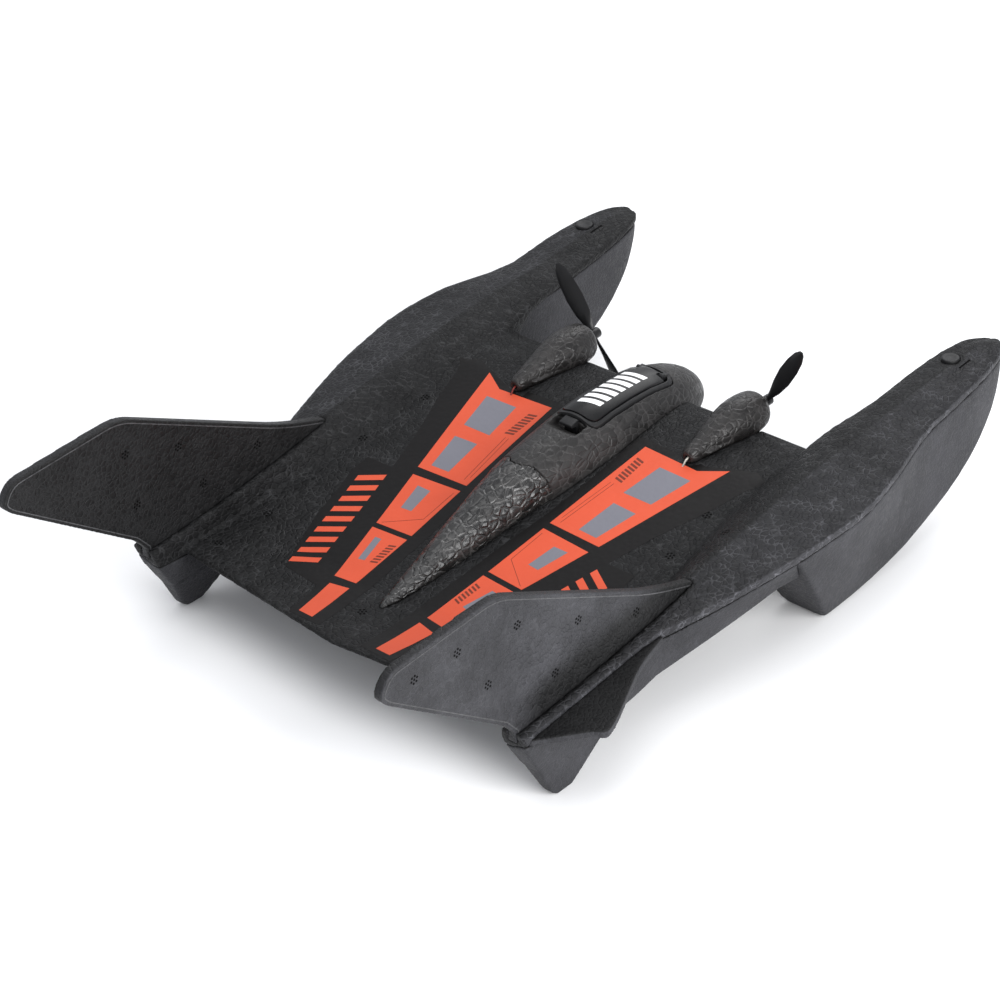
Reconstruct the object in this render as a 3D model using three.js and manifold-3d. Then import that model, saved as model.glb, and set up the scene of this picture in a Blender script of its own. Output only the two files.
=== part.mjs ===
// Twin-float radio-controlled flying wing, in moulded foam, for land, water and air.
// Millimetres, +Z up. The nose points along -Y and the tail along +Y. Left is +X, right is -X.
// The origin is on the ground under the middle of the bounding box.
import * as THREE from 'three';
import * as BufferGeometryUtils from 'three/addons/utils/BufferGeometryUtils.js';
import Module from 'manifold-3d';

const wasm = await Module();
wasm.setup();

// ---------------------------------------------------------------- driving dimensions
const LENGTH = 400;
const BOW_Y = -LENGTH / 2;
const TIP_Y = LENGTH / 2;
const GAP = 0.3;
const FAR = 300;

// wing plate
const LEADING_Y = -93;
const TRAILING_Y = 122.5;
const TRAILING_SWEEP = 0.1;
const PLATE_HALF = 100;
const PLATE_THICK = 6;
const TRAILING_THICK = 1.8;

// side rails: the deck edge that carries floats, beams and fins
const RAIL_X = 106.3;
const RAIL_HALF = 15.3;
const BOW_START = -130;
const BOW_ROUND = 2.5;
const SHELL_EDGE = 4.5;
const RAIL_STEP = 1.4;
const RAIL_END = 129.5;

// floats
const TRANSOM_TOP_Y = -18;
const TRANSOM_BOTTOM_Y = -58;
const DECK_Z = 56;
const FLOAT_SHALLOW_Y = -62;
const FLOAT_CORNER = 5;
const CHINE_X = 120.3;
const CHINE_HALF = CHINE_X - RAIL_X;

// beams, fins and stabilisers
const BEAM_INNER = 98.8;
const FIN_X = 104.8;
const FIN_THICK = 4.4;
const TENON = 5;
const LOWER_FIN_X = 107;
const PLUG_Y = -171;
const PLUG_R = 4.1;
const PLUG_LOW = 70.1;
const PLUG_TOP = 72.9;
const STABILISER_THICK = 3.2;

// pod
const BELLY_Z = 35.6;
const POD_DEPTH = 0.87;

// battery hatch
const HATCH_FRONT = -87.8;
const HATCH_REAR = -34;
const HATCH_HALF = 9.6;
const HATCH_ROUND = 5;
const HATCH_THICK = 1.4;
const HATCH_PROUD = 0.7;
const FRAME_WIDTH = 1.7;
const HINGE_Y = -85.5;
const HINGE_Z = 67.6;
const KNUCKLE_R = 1.4;
const KNUCKLE_HALF = 5;
const PIN_R = 0.6;
const PIN_CLEARANCE = 0.06;
const PIN_HALF = 6.6;
const LATCH_WIDTH = 7;

// battery bay and electronics bay
const BAY_HALF = 9.9;
const BAY_FLOOR = 51;
const BAY_FRONT = -83.6;
const BAY_REAR = -36;
const RADIO_HALF = 10.2;
const RADIO_FRONT = -77;
const RADIO_REAR = -33;
const RADIO_TOP = 47;
const COVER_THICK = 1.3;
const COVER_MARGIN = 7;

// power train
const HUB_X = 49.7;
const HUB_Z = 61.5;
const HUB_Y = -105;
const PROP_R = 37;
const MOTOR_R = 4.25;
const MOTOR_FRONT = -98.6;
const MOTOR_LENGTH = 20;
const SLEEVE_WALL = 1;
const SHAFT_R = 0.75;
const HUB_R = 2.5;
const HUB_LENGTH = 5.4;
const PROP_ANGLE_LEFT = 54;
const PROP_ANGLE_RIGHT = 122;
const WIRE_R = 0.8;

// ---------------------------------------------------------------- materials
const material = (color, roughness, metalness = 0) =>
  new THREE.MeshStandardMaterial({ color, roughness, metalness });

const FOAM = material(0x2c2c2e, 0.78);
const FOAM_SIDE = material(0x3a3a3d, 0.8);
const SATIN_PLASTIC = material(0x161618, 0.35);
const MATT_PLASTIC = material(0x1b1b1d, 0.55);
const PROP_PLASTIC = material(0x101012, 0.45);
const STEEL = material(0xb8b8ba, 0.3, 0.9);
const CARBON = material(0x0c0c0d, 0.3);
const CELL_WRAP = material(0x2a4a8c, 0.35);
const PLUG_WHITE = material(0xe4e0d4, 0.5);
const BOARD_GREEN = material(0x14502c, 0.45);
const CHIP = material(0x0b0b0c, 0.4);
const WIRE_RED = material(0xa82820, 0.5);
const WIRE_PALE = material(0xd8d2c4, 0.5);
const LENS = material(0xe8402c, 0.15);

// ---------------------------------------------------------------- solids
function solidFrom(geometry) {
  const bare = geometry.clone();
  bare.deleteAttribute('normal');
  bare.deleteAttribute('uv');
  const merged = BufferGeometryUtils.mergeVertices(bare, 1e-4);
  return new wasm.Manifold(new wasm.Mesh({
    numProp: 3,
    vertProperties: new Float32Array(merged.attributes.position.array),
    triVerts: new Uint32Array(merged.index.array),
  }));
}

function geometryFrom(solid) {
  const mesh = solid.getMesh();
  const geometry = new THREE.BufferGeometry();
  geometry.setAttribute('position', new THREE.BufferAttribute(new Float32Array(mesh.vertProperties), 3));
  geometry.setIndex(new THREE.BufferAttribute(new Uint32Array(mesh.triVerts), 1));
  return geometry;
}

function signedVolume(points, faces) {
  const cross = new THREE.Vector3();
  return faces.reduce((sum, [a, b, c]) => sum + points[a].dot(cross.crossVectors(points[b], points[c])), 0);
}

// A closed body through matching rings of points, capped by a fan at each end.
function loft(rings) {
  const count = rings[0].length;
  const points = rings.flat().map((p) => new THREE.Vector3(...p));
  const faces = [];
  for (let ring = 0; ring < rings.length - 1; ring += 1) {
    for (let i = 0; i < count; i += 1) {
      const a = ring * count + i;
      const b = ring * count + ((i + 1) % count);
      faces.push([a, b, b + count], [a, b + count, a + count]);
    }
  }
  [0, rings.length - 1].forEach((ring) => {
    const start = ring * count;
    const centre = new THREE.Vector3();
    for (let i = 0; i < count; i += 1) centre.addScaledVector(points[start + i], 1 / count);
    const hub = points.push(centre) - 1;
    for (let i = 0; i < count; i += 1) {
      const next = start + ((i + 1) % count);
      faces.push(ring === 0 ? [hub, next, start + i] : [hub, start + i, next]);
    }
  });
  const outward = signedVolume(points, faces) > 0;
  const geometry = new THREE.BufferGeometry();
  geometry.setAttribute('position', new THREE.BufferAttribute(
    new Float32Array(points.flatMap((p) => p.toArray())), 3));
  geometry.setIndex(faces.flatMap(([a, b, c]) => (outward ? [a, b, c] : [a, c, b])));
  return solidFrom(geometry);
}

function box(x0, x1, y0, y1, z0, z1) {
  const geometry = new THREE.BoxGeometry(x1 - x0, y1 - y0, z1 - z0);
  geometry.translate((x0 + x1) / 2, (y0 + y1) / 2, (z0 + z1) / 2);
  return solidFrom(geometry);
}

// A plate cut from an outline in the X-Y plane, standing between two heights.
function planPrism(shape, z0, z1, curveSegments = 5) {
  const geometry = new THREE.ExtrudeGeometry(shape, { depth: z1 - z0, bevelEnabled: false, curveSegments });
  geometry.translate(0, 0, z0);
  return solidFrom(geometry);
}

// A sheet cut from an outline in the Y-Z plane, standing between two X positions.
function sidePrism(shape, x0, x1, curveSegments = 5) {
  const geometry = new THREE.ExtrudeGeometry(shape, { depth: x1 - x0, bevelEnabled: false, curveSegments });
  geometry.rotateX(Math.PI / 2);
  geometry.rotateZ(Math.PI / 2);
  geometry.translate(x0, 0, 0);
  return solidFrom(geometry);
}

function rodY(radius, y0, y1, x, z, segments = 16) {
  const geometry = new THREE.CylinderGeometry(radius, radius, y1 - y0, segments);
  geometry.translate(x, (y0 + y1) / 2, z);
  return solidFrom(geometry);
}

function rodX(radius, x0, x1, y, z, segments = 16) {
  const geometry = new THREE.CylinderGeometry(radius, radius, x1 - x0, segments);
  geometry.rotateZ(Math.PI / 2);
  geometry.translate((x0 + x1) / 2, y, z);
  return solidFrom(geometry);
}

function rodZ(radius, z0, z1, x, y, segments = 14) {
  const geometry = new THREE.CylinderGeometry(radius, radius, z1 - z0, segments);
  geometry.rotateX(Math.PI / 2);
  geometry.translate(x, y, (z0 + z1) / 2);
  return solidFrom(geometry);
}

function wire(points, radius, stepCount) {
  const path = new THREE.CatmullRomCurve3(points.map((p) => new THREE.Vector3(...p)));
  const section = new THREE.Shape().absarc(0, 0, radius, 0, 2 * Math.PI);
  const options = { steps: stepCount, extrudePath: path, curveSegments: 4 };
  return solidFrom(new THREE.ExtrudeGeometry(section, options));
}

// The main piece of a cut solid, without any sliver that the cut left loose.
function largestPiece(solid) {
  return solid.decompose().reduce((best, piece) => (piece.volume() > best.volume() ? piece : best));
}

function mirrored(solid) {
  return solid.mirror([1, 0, 0]);
}

// An outline with rounded corners: each entry is [u, v, corner radius].
function roundedShape(corners) {
  const shape = new THREE.Shape();
  corners.forEach(([u, v, radius = 0], i) => {
    const [pu, pv] = corners[(i + corners.length - 1) % corners.length];
    const [nu, nv] = corners[(i + 1) % corners.length];
    const before = new THREE.Vector2(pu - u, pv - v).setLength(radius);
    const after = new THREE.Vector2(nu - u, nv - v).setLength(radius);
    const from = [u + before.x, v + before.y];
    if (i === 0) shape.moveTo(...from);
    else shape.lineTo(...from);
    if (radius > 0) shape.quadraticCurveTo(u, v, u + after.x, v + after.y);
  });
  shape.closePath();
  return shape;
}

// A value that follows [position, value] knots, smoothly between them.
function follow(knots, at) {
  const last = knots.length - 1;
  if (at <= knots[0][0]) return knots[0][1];
  if (at >= knots[last][0]) return knots[last][1];
  const i = knots.findIndex(([position]) => position > at) - 1;
  const slope = (k) => {
    const a = knots[Math.max(k - 1, 0)];
    const b = knots[Math.min(k + 1, last)];
    return (b[1] - a[1]) / (b[0] - a[0]);
  };
  const [x0, y0] = knots[i];
  const [x1, y1] = knots[i + 1];
  const span = x1 - x0;
  const t = (at - x0) / span;
  const rise = (2 * t ** 3 - 3 * t ** 2 + 1) * y0 + (3 * t ** 2 - 2 * t ** 3) * y1;
  return rise + span * ((t ** 3 - 2 * t ** 2 + t) * slope(i) + (t ** 3 - t ** 2) * slope(i + 1));
}

function steps(from, to, count) {
  return Array.from({ length: count + 1 }, (_, i) => from + ((to - from) * i) / count);
}

// ---------------------------------------------------------------- wing surface lines
// Height of the plate's upper face along the chord: cambered ahead, reflexed at the tail.
const PLATE_TOP = [[-93, 54.2], [-89, 57], [-80, 58.4], [-68, 58.3], [-54, 57], [12, 46.1],
  [50, 39.9], [86, 35.2], [105, 34.3], [123, 34.4]];
const plateTop = (y) => follow(PLATE_TOP, y);

function plateBottom(y) {
  const nose = Math.min(1, (y - LEADING_Y) / 12);
  const tail = Math.min(1, (TRAILING_Y - y) / 70);
  const thick = TRAILING_THICK + (PLATE_THICK - TRAILING_THICK) * Math.sqrt(Math.max(nose, 0)) * tail;
  return plateTop(y) - thick;
}

// The deck rail in plan and in height, all as functions of y.
const OUTER_EDGE = [[-130, 121.8], [-116, 124.6], [-91, 131.8], [-62, 136.2], [-45, 134.8], [-18, 131],
  [25, 120], [46, 113.2], [60, 112.4], [134, 112]];
const OUTER_Z = [[-200, 70.6], [-190, 71.4], [-157, 69.2], [-128, 65.6], [-110, 65], [-92, 64.9], [-58, 61],
  [-18, 56.4], [18, 51.4], [46, 47.8], [90, 43], [134, 39.5]];
const RIDGE_Z = [[-200, 71], [-186, 73], [-140, 70], [-99, 67.8], [-58, 65.2], [-18, 60], [19, 54.6],
  [46, 50], [90, 44.2], [134, 40.5]];
const INNER_Z = [[-200, 70.6], [-186, 71], [-141, 66.4], [-99, 62.6], [-80, 58.4], [-54, 57], [12, 46.1],
  [50, 40], [86, 35.6], [134, 35]];

function bowScale(y) {
  const t = Math.min(1, Math.max(0, (BOW_START - y) / (BOW_START - BOW_Y + 0.4)));
  return (1 - t ** BOW_ROUND) ** (1 / BOW_ROUND);
}

const outerEdge = (y) => (y < BOW_START ? RAIL_X + RAIL_HALF * bowScale(y) : follow(OUTER_EDGE, y));
const innerEdge = (y) => (y < BOW_START ? RAIL_X - RAIL_HALF * bowScale(y) : RAIL_X - RAIL_HALF);
const outerZ = (y) => follow(OUTER_Z, y);
const partingZ = (y) => outerZ(y) - SHELL_EDGE;

const RAIL_STATIONS = [BOW_Y, ...steps(-199, -184, 4), ...steps(-175, BOW_START, 4), ...steps(-116, -18, 8),
  ...steps(0, 46, 4), ...steps(60, RAIL_END, 5)];

// The inner foot spreads over the plate amidships and becomes a low upright wall at the tail.
const FOOT_X = [[-125, 91], [-85, 86], [-20, 88], [46, 95.5], [80, 98.5], [134, 98.5]];
const SHOULDER_X = [[-125, 98], [-60, 100], [0, 101], [46, 99.4], [80, 99.3], [134, 99.3]];

function railRing(y) {
  const inner = innerEdge(y);
  const outer = outerEdge(y);
  const foot = y < BOW_START ? inner : Math.min(follow(FOOT_X, y), 99);
  const shoulder = y < BOW_START ? inner + (RAIL_X - inner) * 0.5 : follow(SHOULDER_X, y);
  const ridge = RAIL_X - 2 + (y < BOW_START ? 2 * (1 - bowScale(y)) : 0);
  const lip = Math.min(3, (outer - RAIL_X) * 0.3);
  const footZ = follow(INNER_Z, y);
  const ridgeZ = follow(RIDGE_Z, y);
  const under = y < LEADING_Y ? footZ - 3.5 : Math.min(partingZ(y), plateBottom(y) - RAIL_STEP);
  return [
    [foot, y, footZ],
    [foot + (shoulder - foot) * 0.5, y, footZ * 0.45 + ridgeZ * 0.55 - 0.4],
    [shoulder, y, ridgeZ - 1],
    [ridge, y, ridgeZ],
    [outer - lip, y, outerZ(y) + 0.9],
    [outer, y, outerZ(y) - 0.6],
    [outer - 0.6, y, partingZ(y)],
    [PLATE_HALF + 2.5, y, under],
    [foot + 1, y, under],
    [foot, y, Math.min(under + 0.6, footZ - 1)],
  ];
}

function plateRing(x) {
  const scale = 1 - (TRAILING_SWEEP * Math.abs(x)) / (TRAILING_Y - LEADING_Y);
  const chord = [LEADING_Y, -91.5, -89, -80, -68, -54, -20, 12, 50, 86, 105, TRAILING_Y];
  const place = (y) => LEADING_Y + (y - LEADING_Y) * scale;
  const top = chord.map((y) => [x, place(y), plateTop(y)]);
  const bottom = chord.map((y) => [x, place(y), plateBottom(y)]).reverse();
  return [...top, ...bottom];
}

// ---------------------------------------------------------------- pod
const POD_RADIUS = [[-118, 0.4], [-117.4, 3.2], [-115.5, 6.2], [-112.5, 9.2], [-108, 12.2], [-101, 15.4],
  [-92, 17.8], [-80, 19.2], [-60, 19.5], [-42, 19], [-27, 17.6], [8, 14], [48, 9], [80, 4.6], [90, 2.6],
  [93, 1]];
const POD_CENTRE = [[-118, 46.5], [-108, 48.4], [-92, 49.8], [-66, 52], [-27, 52], [8, 50.4], [48, 42.2],
  [80, 35.6], [93, 34.6]];
const POD_STATIONS = [-118, -117.6, -116.6, -115, -112.5, -109, -105, -100, -93, -84, -73, -60, -46, -32,
  -18, -4, 10, 26, 42, 56, 70, 82, 90, 93];
const POD_SIDES = 60;
const podRadius = (y) => follow(POD_RADIUS, y);
const podCentre = (y) => follow(POD_CENTRE, y);

// The pod's outside, grown or shrunk by a margin. Its lower half is a little shallower.
function podEnvelope(margin) {
  return loft(POD_STATIONS.map((y) => Array.from({ length: POD_SIDES }, (_, i) => {
    const angle = (2 * Math.PI * (i + 0.5)) / POD_SIDES;
    const radius = Math.max(podRadius(y) + margin, 0.2);
    const rise = Math.sin(angle) > 0 ? 1 : POD_DEPTH;
    return [radius * Math.cos(angle), y, podCentre(y) + radius * rise * Math.sin(angle)];
  })));
}

// The joint between front body and tail cone: a stepped wave in plan.
function tailRegion(shift) {
  const edge = [[0, 6.8], [3.2, 6.2], [5, 4], [8, 2.9], [11, 2], [14, 0.6], [15.5, -2], [20, -4]];
  const shape = new THREE.Shape();
  shape.moveTo(-30, 110);
  shape.lineTo(-30, -4 + shift);
  [...edge].reverse().forEach(([x, y]) => shape.lineTo(-x, y + shift));
  edge.slice(1).forEach(([x, y]) => shape.lineTo(x, y + shift));
  shape.lineTo(30, -4 + shift);
  shape.lineTo(30, 110);
  shape.closePath();
  return planPrism(shape, 0, 100);
}

function hatchOutline(grow) {
  const front = HATCH_FRONT - grow;
  const rear = HATCH_REAR + grow;
  const half = HATCH_HALF + grow;
  return roundedShape([[-half, front, HATCH_ROUND], [half, front, HATCH_ROUND], [half, rear, HATCH_ROUND],
    [-half, rear, HATCH_ROUND]]);
}

function hatchSolids() {
  const skin = podEnvelope(HATCH_PROUD).subtract(podEnvelope(HATCH_PROUD - HATCH_THICK));
  const above = 110;
  const barrel = rodX(KNUCKLE_R, -KNUCKLE_HALF, KNUCKLE_HALF, HINGE_Y, HINGE_Z);
  const wings = box(-FAR, -KNUCKLE_HALF, -FAR, HINGE_Y + 2.6, 0, above)
    .add(box(KNUCKLE_HALF, FAR, -FAR, HINGE_Y + 2.6, 0, above));
  const hatch = planPrism(hatchOutline(0), 60, above).intersect(skin)
    .subtract(box(-FAR, FAR, -FAR, HINGE_Y, 0, above))
    .subtract(wings)
    .add(barrel)
    .subtract(rodX(PIN_R + PIN_CLEARANCE, -PIN_HALF - 1, PIN_HALF + 1, HINGE_Y, HINGE_Z));

  const rimSkin = podEnvelope(0.2).subtract(podEnvelope(-2));
  const ears = rodX(KNUCKLE_R, KNUCKLE_HALF + GAP, PIN_HALF + 1, HINGE_Y, HINGE_Z);
  const webs = box(KNUCKLE_HALF + GAP, PIN_HALF + 1, HATCH_FRONT - 1, HINGE_Y,
    HINGE_Z - KNUCKLE_R, HINGE_Z + 0.4);
  const earPair = ears.add(webs).add(mirrored(ears.add(webs)));
  const frame = planPrism(hatchOutline(FRAME_WIDTH), 55, above)
    .subtract(planPrism(hatchOutline(GAP), 50, above + 1))
    .intersect(rimSkin)
    .add(earPair)
    .subtract(rodX(PIN_R + PIN_CLEARANCE, -PIN_HALF - 0.4, PIN_HALF + 0.4, HINGE_Y, HINGE_Z));
  const pin = rodX(PIN_R, -PIN_HALF, PIN_HALF, HINGE_Y, HINGE_Z);
  return { hatch, frame, pin };
}

const LATCH_Y = HATCH_REAR + FRAME_WIDTH + 2 * GAP;
const LATCH_Z = 65.4;

function latchSolid() {
  const half = LATCH_WIDTH / 2;
  const shape = roundedShape([[LATCH_Y, LATCH_Z - 3, 0], [LATCH_Y + 1.6, LATCH_Z - 3, 0],
    [LATCH_Y + 1.6, LATCH_Z + 1, 0.4], [LATCH_Y + 5, LATCH_Z + 1.6, 0.5], [LATCH_Y + 5, LATCH_Z + 3, 0.5],
    [LATCH_Y, LATCH_Z + 4, 0.6]]);
  return sidePrism(shape, -half, half, 3);
}

function fingerScoop() {
  const shape = roundedShape([[-18, 74, 0], [-20.5, 68, 2], [-27, 64.6, 2], [LATCH_Y - GAP, 62.4, 0],
    [LATCH_Y - GAP, 90, 0], [-18, 90, 0]]);
  return sidePrism(shape, -8.4, 8.4, 4);
}

function coverOutline(grow) {
  const half = RADIO_HALF + grow;
  const front = RADIO_FRONT - COVER_MARGIN - grow;
  const rear = RADIO_REAR + COVER_MARGIN + grow;
  const corner = 3;
  return roundedShape([[-half, front, corner], [half, front, corner], [half, rear, corner],
    [-half, rear, corner]]);
}

const SCREW_X = 6;
const SCREW_INSET = 3.6;
const COVER_SCREWS = [[-SCREW_X, RADIO_FRONT - SCREW_INSET], [SCREW_X, RADIO_FRONT - SCREW_INSET],
  [-SCREW_X, RADIO_REAR + SCREW_INSET], [SCREW_X, RADIO_REAR + SCREW_INSET]];
const SWITCH_Y = -44;

function podFrontSolid(leadChannels) {
  const recess = planPrism(hatchOutline(FRAME_WIDTH + GAP), 60, 110)
    .subtract(podEnvelope(-2 - GAP));
  const latchSlot = box(-LATCH_WIDTH / 2 - GAP, LATCH_WIDTH / 2 + GAP, LATCH_Y - GAP, LATCH_Y + 4,
    LATCH_Z - 3 - GAP, 90);
  let body = podEnvelope(0)
    .subtract(tailRegion(-GAP))
    .subtract(box(-FAR, FAR, -FAR, FAR, -FAR, BELLY_Z))
    .subtract(recess)
    .subtract(planPrism(hatchOutline(GAP), HINGE_Z - 3, 110))
    .subtract(box(-BAY_HALF, BAY_HALF, BAY_FRONT, BAY_REAR, BAY_FLOOR, 110))
    .subtract(fingerScoop())
    .subtract(latchSlot)
    .subtract(box(-RADIO_HALF, RADIO_HALF, RADIO_FRONT, RADIO_REAR, 0, RADIO_TOP))
    .subtract(planPrism(coverOutline(GAP), 0, BELLY_Z + COVER_THICK + GAP))
    .subtract(box(-3, 3, BAY_REAR - 5, BAY_REAR - 1, RADIO_TOP - 1, BAY_FLOOR + 1));
  COVER_SCREWS.forEach(([x, y]) => {
    body = body.subtract(rodZ(1.3, 0, BELLY_Z + COVER_THICK + 7, x, y));
  });
  return body.subtract(leadChannels);
}

// Everything above the plate's upper face, from the leading edge to behind the tail cone.
function abovePlate(gap) {
  const line = steps(-60, 100, 16).map((y) => [y, plateTop(y) + gap]);
  return sidePrism(roundedShape([...line, [100, 110], [-60, 110]]), -40, 40);
}

const podTailSolid = () => podEnvelope(0).intersect(tailRegion(0)).intersect(abovePlate(GAP));

// ---------------------------------------------------------------- nacelles and motors
const NACELLE_RADIUS = [[-99.2, 6.5], [-98.2, 7.9], [-95.5, 9.2], [-89, 9.9], [-82, 9.7], [-75, 8.6],
  [-66, 6.6], [-57, 4.7], [-51, 3.6], [-49.2, 2.4]];
const NACELLE_STATIONS = [-99.2, -98.2, -96.5, -94, -90, -86, -81, -75, -69, -63, -57, -52, -50, -49.2];
const NACELLE_SIDES = 40;

function nacelleEnvelope(margin) {
  return loft(NACELLE_STATIONS.map((y, k) => Array.from({ length: NACELLE_SIDES }, (_, i) => {
    const angle = (2 * Math.PI * i) / NACELLE_SIDES;
    const radius = follow(NACELLE_RADIUS, y) + margin;
    const end = (k === 0 ? -margin : 0) + (k === NACELLE_STATIONS.length - 1 ? margin : 0);
    const droop = follow([[-99, 0], [-75, 0], [-49, -2.4]], y);
    return [HUB_X + radius * Math.cos(angle), y + end, HUB_Z + droop + radius * Math.sin(angle)];
  })));
}

const leadPath = [[HUB_X, MOTOR_FRONT + MOTOR_LENGTH + 0.5, HUB_Z], [HUB_X, -66, HUB_Z - 0.8],
  [HUB_X, -54, 59.6], [HUB_X, -48.6, 58.2], [HUB_X - 0.4, -46.3, 55.4], [HUB_X - 5, -45.6, 52.9],
  [38, -45, 52.6], [24, -44.5, 51.8], [14, -43, 44.5], [RADIO_HALF - 1.5, -42.5, 43.8]];
const leadSolid = (radius) => wire(leadPath, radius, 26);

function nacelleSolid(channel) {
  const boreR = MOTOR_R + SLEEVE_WALL + 2 * GAP;
  const flangeOutline = roundedShape([[HUB_X - 10.6, -93, 3], [HUB_X + 10.6, -93, 3],
    [HUB_X + 6, -56, 3], [HUB_X - 6, -56, 3]]);
  const flange = planPrism(flangeOutline, 58.9, 60.1);
  return nacelleEnvelope(0).add(flange)
    .subtract(rodY(boreR, -FAR, MOTOR_FRONT + MOTOR_LENGTH + 0.4, HUB_X, HUB_Z))
    .subtract(channel);
}

function motorSolid() {
  return rodY(MOTOR_R, MOTOR_FRONT, MOTOR_FRONT + MOTOR_LENGTH - 0.4, HUB_X, HUB_Z, 20)
    .subtract(rodY(SHAFT_R + 0.05, MOTOR_FRONT - 1, MOTOR_FRONT + 8, HUB_X, HUB_Z, 10));
}

function sleeveSolid() {
  const outer = MOTOR_R + GAP + SLEEVE_WALL;
  return rodY(outer, MOTOR_FRONT - 1.4, MOTOR_FRONT + 12, HUB_X, HUB_Z, 20)
    .subtract(rodY(MOTOR_R + GAP, MOTOR_FRONT - GAP, MOTOR_FRONT + 13, HUB_X, HUB_Z, 20))
    .subtract(rodY(1.8, -110, MOTOR_FRONT, HUB_X, HUB_Z, 12));
}

const shaftSolid = () => rodY(SHAFT_R, HUB_Y - HUB_LENGTH / 2 - 0.4, MOTOR_FRONT + 7.5, HUB_X, HUB_Z, 10);

// One blade, lofted outwards along +X from the hub, with its twist falling towards the tip.
function bladeSolid(hand) {
  const chord = [[1.5, 3.4], [5, 4.2], [11, 7.6], [19, 9.4], [27, 8.6], [33, 6.4], [36.3, 3.2], [37, 1]];
  const rings = chord.map(([radius, width]) => {
    const pitch = hand * THREE.MathUtils.degToRad(12 + 30 * Math.exp(-radius / 14));
    const thick = 1.7 - (0.9 * radius) / PROP_R;
    const section = [[-0.5, 0], [-0.25, 0.5], [0.15, 0.45], [0.5, 0], [0.15, -0.12], [-0.25, -0.3]];
    return section.map(([along, across]) => {
      const u = along * width;
      const v = across * thick;
      const forward = -u * Math.sin(pitch) + v * Math.cos(pitch);
      return [radius, forward, u * Math.cos(pitch) + v * Math.sin(pitch)];
    });
  });
  return loft(rings);
}

function propellerSolid(angle, hand) {
  const blade = bladeSolid(hand);
  const hub = rodY(HUB_R, -HUB_LENGTH / 2, HUB_LENGTH / 2, 0, 0, 18);
  return blade.add(blade.rotate([0, 180, 0])).add(hub)
    .subtract(rodY(SHAFT_R + GAP, -HUB_LENGTH, HUB_LENGTH, 0, 0, 10))
    .rotate([0, -angle, 0])
    .translate([HUB_X, HUB_Y, HUB_Z]);
}

// ---------------------------------------------------------------- floats, beams and fins
function keelZ(y) {
  const t = Math.min(1, Math.max(0, (FLOAT_SHALLOW_Y - y) / (FLOAT_SHALLOW_Y - BOW_Y - 1)));
  return 66 * (1 - (1 - t ** 1.9) ** 0.55);
}

function floatRing(y) {
  const top = partingZ(y) - GAP;
  const keel = Math.min(keelZ(y), top - 1);
  const depth = top - keel;
  const drop = depth / DECK_Z;
  const outer = outerEdge(y) - 0.8;
  const inner = innerEdge(y) + 0.8;
  const span = outer - inner;
  const lowOuter = Math.min(outer - 1.5 * drop, RAIL_X + CHINE_HALF * bowScale(y));
  const lowInner = inner + Math.min(4.5 * drop, span * 0.2);
  const corner = Math.min(FLOAT_CORNER, depth * 0.45, (lowOuter - lowInner) * 0.45);
  const ring = [[inner, y, top], [(inner + lowInner) / 2, y, keel + depth * 0.5]];
  steps(0, Math.PI / 2, 5).forEach((a) => {
    ring.push([lowInner + corner * (1 - Math.cos(a)), y, keel + corner * (1 - Math.sin(a))]);
  });
  steps(Math.PI / 2, 0, 5).forEach((a) => {
    ring.push([lowOuter - corner * (1 - Math.cos(a)), y, keel + corner * (1 - Math.sin(a))]);
  });
  ring.push([(outer + lowOuter) / 2, y, keel + depth * 0.5], [outer, y, top]);
  return ring;
}

const FLOAT_STATIONS = [...steps(BOW_Y + 1.6, -184, 5), ...steps(-175, BOW_START, 5),
  ...steps(-116, -10, 8)];

// Everything behind the raked transom plane, moved back by a shift.
function behindTransom(shift) {
  const slope = (TRANSOM_TOP_Y - TRANSOM_BOTTOM_Y) / DECK_Z;
  const shape = roundedShape([[TRANSOM_BOTTOM_Y + shift - 10 * slope, -10], [FAR, -10], [FAR, 100],
    [TRANSOM_BOTTOM_Y + shift + 100 * slope, 100]]);
  return sidePrism(shape, 60, 200);
}

function floatSolid() {
  return loft(FLOAT_STATIONS.map(floatRing)).subtract(behindTransom(0));
}

// The beam deepens towards the tail.
const beamLow = (y) => follow([[-20, 37], [26, 28.5], [46, 22.5], [66, 19.4], [134, 16.4]], y);

function beamRing(y) {
  const top = partingZ(y) - GAP;
  const outer = outerEdge(y) - 0.8;
  const low = beamLow(y);
  const lean = follow([[-18, 7], [25, 2.6], [46, 2], [134, 1.5]], y);
  const chamfer = follow([[46, 2], [70, 0.3]], y);
  return [[BEAM_INNER, y, top], [BEAM_INNER + 1, y, low + 2], [BEAM_INNER + 3, y, low],
    [outer - lean - chamfer, y, low], [outer - lean, y, low + chamfer], [outer, y, top]];
}

const BEAM_STATIONS = [...steps(-45, 46, 7), ...steps(60, RAIL_END + 4, 4)];

// The upper fin: root tenon, raked leading edge, flat-topped tip, straight trailing edge.
function finShape(grow) {
  const root = (y) => follow(RIDGE_Z, y) - TENON - grow;
  return roundedShape([[19 - grow, 54.4 + grow, 0], [44, 62.8 + grow, 14], [136, 109 + grow, 8],
    [195.6, 106 + grow, 6], [200.6, 97 + grow, 3], [196.6, 92.6, 2], [134.6 + grow, 47.8, 1],
    [RAIL_END - 0.6 + grow, 41, 0], [RAIL_END - 1 + grow, root(RAIL_END), 0], [90, root(90), 0],
    [46, root(46), 0], [19 - grow, root(19), 0]]);
}

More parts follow.
